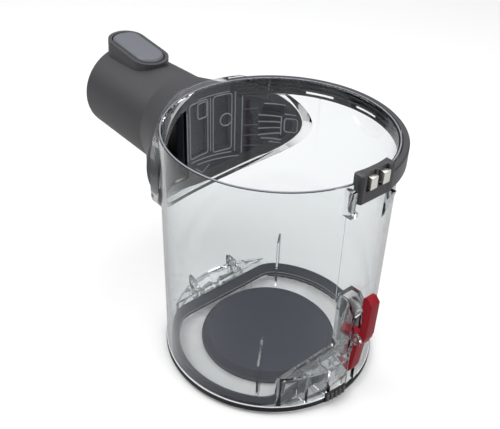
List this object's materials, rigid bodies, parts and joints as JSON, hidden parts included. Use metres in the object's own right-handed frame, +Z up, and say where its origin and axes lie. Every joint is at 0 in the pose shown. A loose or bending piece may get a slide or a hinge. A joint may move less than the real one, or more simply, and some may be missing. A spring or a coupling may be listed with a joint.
{
  "type": "cyclone dust bin",
  "caption": "Clear cylindrical dust bin of a stick vacuum cleaner, with a flared inlet tube, release button, wire cover with contacts, and a hinged base flap held by a red catch.",
  "frame": {"origin": "on the bin axis, at the underside of the closed base flap", "axes": "+Z up along the bin axis, the inlet tube's mouth faces -X, the catch and the contact block are on +X"},
  "size_m": [0.2147, 0.1209, 0.1433],
  "materials": {
    "clear_plastic": "clear polycarbonate, polished",
    "dark_plastic": "fine matt moulded plastic, dark grey",
    "button_plastic": "satin moulded plastic, blue-grey",
    "cover_plastic": "matt moulded plastic, dark grey",
    "black_plastic": "glossy moulded plastic, black",
    "red_plastic": "semi-gloss moulded plastic, deep red",
    "seal_rubber": "smooth slate grey rubber",
    "contact_metal": "plated spring metal",
    "lead_sleeve": "thin sleeve over copper",
    "steel": "bright drawn steel"
  },
  "bodies": {
    "bin": {"clear_bin": "clear_plastic", "inlet_tube": "dark_plastic", "duct_guide": "dark_plastic", "wire_cover": "cover_plastic", "contact_carrier": "cover_plastic", "contact_left": "contact_metal", "contact_right": "contact_metal", "lead_left": "lead_sleeve", "lead_right": "lead_sleeve", "terminal_left": "contact_metal", "terminal_right": "contact_metal", "hinge_pin": "steel", "catch_pin": "steel", "button_spring": "steel", "catch_spring": "steel"},
    "flap": {"base_flap": "clear_plastic", "flap_trim": "black_plastic", "base_seal": "seal_rubber", "centre_seal": "seal_rubber"},
    "catch": {"bin_catch": "red_plastic"},
    "button": {"release_button": "button_plastic"}
  },
  "joints": [
    {"name": "flap_hinge", "type": "hinge", "parent": "bin", "child": "flap", "pos_m": [-0.0495, 0, 0.006], "axis": [0, 1, 0], "range_deg": [0, 95]},
    {"name": "catch_pivot", "type": "hinge", "parent": "bin", "child": "catch", "pos_m": [0.0611, 0.007, 0.041], "axis": [0, -1, 0], "range_deg": [0, 5], "stiffness_Nm_per_rad": 0.4, "springref_deg": -8.59, "deforming": ["catch_spring"]},
    {"name": "button_press", "type": "slide", "parent": "bin", "child": "button", "axis": [-0.1167, 0, -0.9932], "range_m": [0, 0.0025], "stiffness_N_per_m": 800, "springref_m": -0.002, "deforming": ["button_spring"]}
  ]
}
